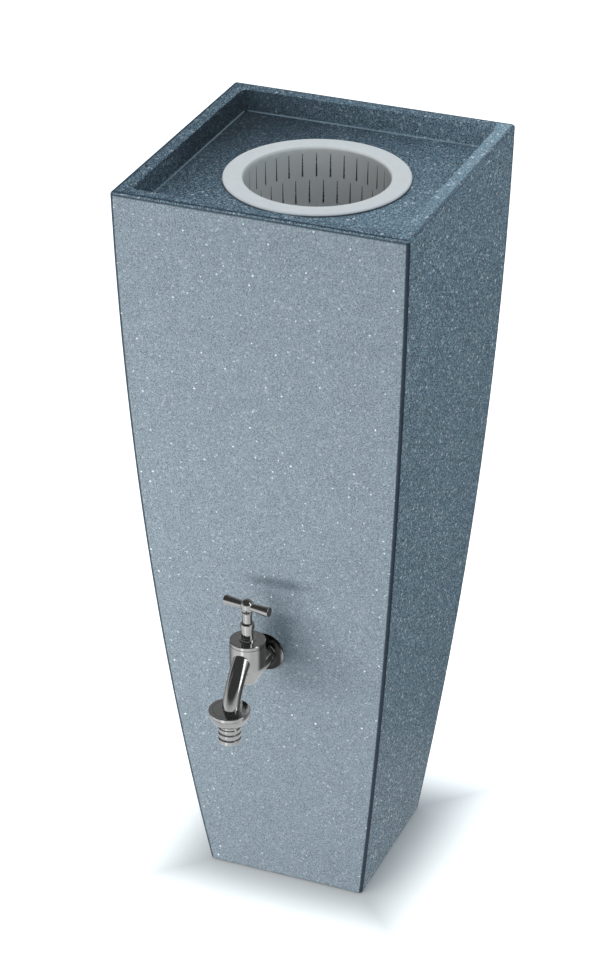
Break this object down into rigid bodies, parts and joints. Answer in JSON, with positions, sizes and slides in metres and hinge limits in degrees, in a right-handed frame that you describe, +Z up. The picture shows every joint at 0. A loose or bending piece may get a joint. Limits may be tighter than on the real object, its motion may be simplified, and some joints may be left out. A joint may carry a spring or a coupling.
{
  "type": "rainwater tank",
  "caption": "Tall square tapering rainwater tank with bowed sides, a sunken planter tray, a round slotted filter basket and a T-handle tap with a hose tail.",
  "frame": {"origin": "centre of the square base, on the plane that the tank stands on", "axes": "+Z up; the tap is on the front face, which faces -Y; +X is to the right seen from the front"},
  "size_m": [0.3798, 0.4871, 1],
  "materials": {
    "tank_plastic": "satin grey-blue with fine white and dark speckle",
    "basket_plastic": "satin light grey",
    "chrome": "polished",
    "brass": "machined",
    "rubber": "matte",
    "fibre": "matte red fibre",
    "packing": "matte"
  },
  "bodies": {
    "tank": {"tank_shell": "tank_plastic", "filter_basket": "basket_plastic", "wall_bush": "brass", "inlet_gasket": "rubber", "wall_rosette": "chrome", "tap_body": "chrome", "bonnet": "chrome", "bonnet_seal": "fibre", "gland_washer": "brass", "gland_packing": "packing", "gland_nut": "chrome"},
    "valve": {"valve_jumper": "brass", "valve_washer": "rubber", "valve_nut": "brass"},
    "handle": {"spindle": "brass", "t_handle": "chrome"},
    "tail": {"hose_tail": "chrome", "union_gasket": "rubber"},
    "nut": {"union_nut": "chrome"}
  },
  "joints": [
    {"name": "valve_lift", "type": "slide", "parent": "tank", "child": "valve", "axis": [0, 0, 1], "range_m": [0, 0.006]},
    {"name": "handle_turn", "type": "hinge", "parent": "valve", "child": "handle", "pos_m": [-0.008, -0.21149, 0.4556], "axis": [0, 0, 1], "range_deg": [0, 720]},
    {"name": "tail_drop", "type": "slide", "parent": "tank", "child": "tail", "axis": [0, 0, -1], "range_m": [0, 0.00923]},
    {"name": "nut_turn", "type": "hinge", "parent": "tail", "child": "nut", "pos_m": [-0.008, -0.27099, 0.3634], "axis": [0, 0, -1], "range_deg": [0, 1440]}
  ],
  "couplings": [
    {"joint": "handle_turn", "follows": "valve_lift", "rad_per_m": 2094.4},
    {"joint": "nut_turn", "follows": "tail_drop", "rad_per_m": 2721.2}
  ]
}
